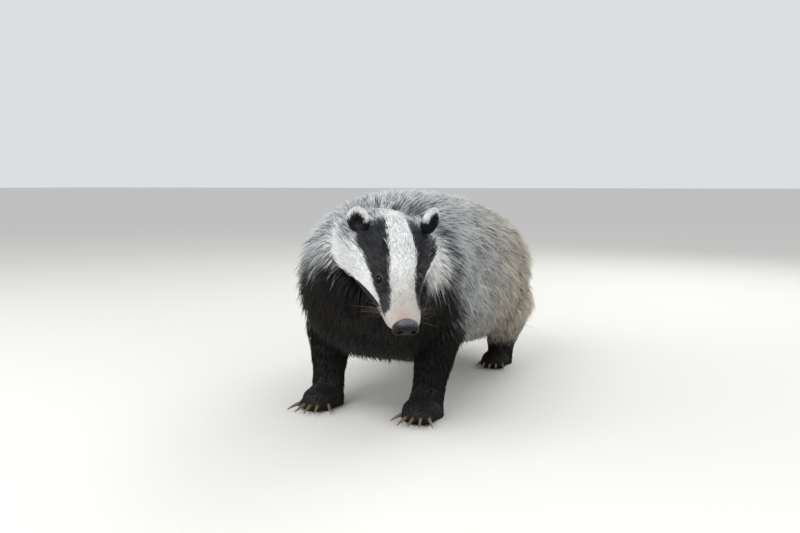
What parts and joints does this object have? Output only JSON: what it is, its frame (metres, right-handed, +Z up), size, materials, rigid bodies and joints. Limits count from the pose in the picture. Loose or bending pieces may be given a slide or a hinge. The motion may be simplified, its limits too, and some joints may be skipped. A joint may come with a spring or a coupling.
{
  "type": "european badger",
  "caption": "Life-size European badger standing with its back arched and its striped head lowered and turned, with a long bristly grey coat, black legs and long fore claws.",
  "frame": {"origin": "on the floor under the middle of the animal's box, between the four feet", "axes": "+Z up, +Y towards the tail, +X towards the animal's left side; the body looks along -Y"},
  "size_m": [0.33, 0.8601, 0.3604],
  "materials": {
    "grey_coat": "long bristly hair, white with a black band and a pale tip",
    "face_coat": "short dense hair, white with two black stripes",
    "ear_coat": "short dense hair, dark brown with a white rim",
    "leg_coat": "short black hair",
    "claw_horn": "worn horn",
    "nose_skin": "moist pebbled skin",
    "eye_glass": "glossy and near black"
  },
  "bodies": {
    "root": {"claw_foreleg_left_1": "claw_horn", "claw_foreleg_left_2": "claw_horn", "claw_foreleg_left_3": "claw_horn", "claw_foreleg_left_4": "claw_horn", "claw_foreleg_left_5": "claw_horn", "claw_foreleg_right_1": "claw_horn", "claw_foreleg_right_2": "claw_horn", "claw_foreleg_right_3": "claw_horn", "claw_foreleg_right_4": "claw_horn", "claw_foreleg_right_5": "claw_horn", "claw_hindleg_left_1": "claw_horn", "claw_hindleg_left_2": "claw_horn", "claw_hindleg_left_3": "claw_horn", "claw_hindleg_left_4": "claw_horn", "claw_hindleg_left_5": "claw_horn", "claw_hindleg_right_1": "claw_horn", "claw_hindleg_right_2": "claw_horn", "claw_hindleg_right_3": "claw_horn", "claw_hindleg_right_4": "claw_horn", "claw_hindleg_right_5": "claw_horn", "ear_left": "ear_coat", "ear_right": "ear_coat", "eye_left": "eye_glass", "eye_right": "eye_glass", "foreleg_left": "leg_coat", "foreleg_right": "leg_coat", "head": "face_coat", "hindleg_left": "leg_coat", "hindleg_right": "leg_coat", "neck": "grey_coat", "nose": "nose_skin", "tail": "grey_coat", "torso": "grey_coat"}
  },
  "joints": []
}
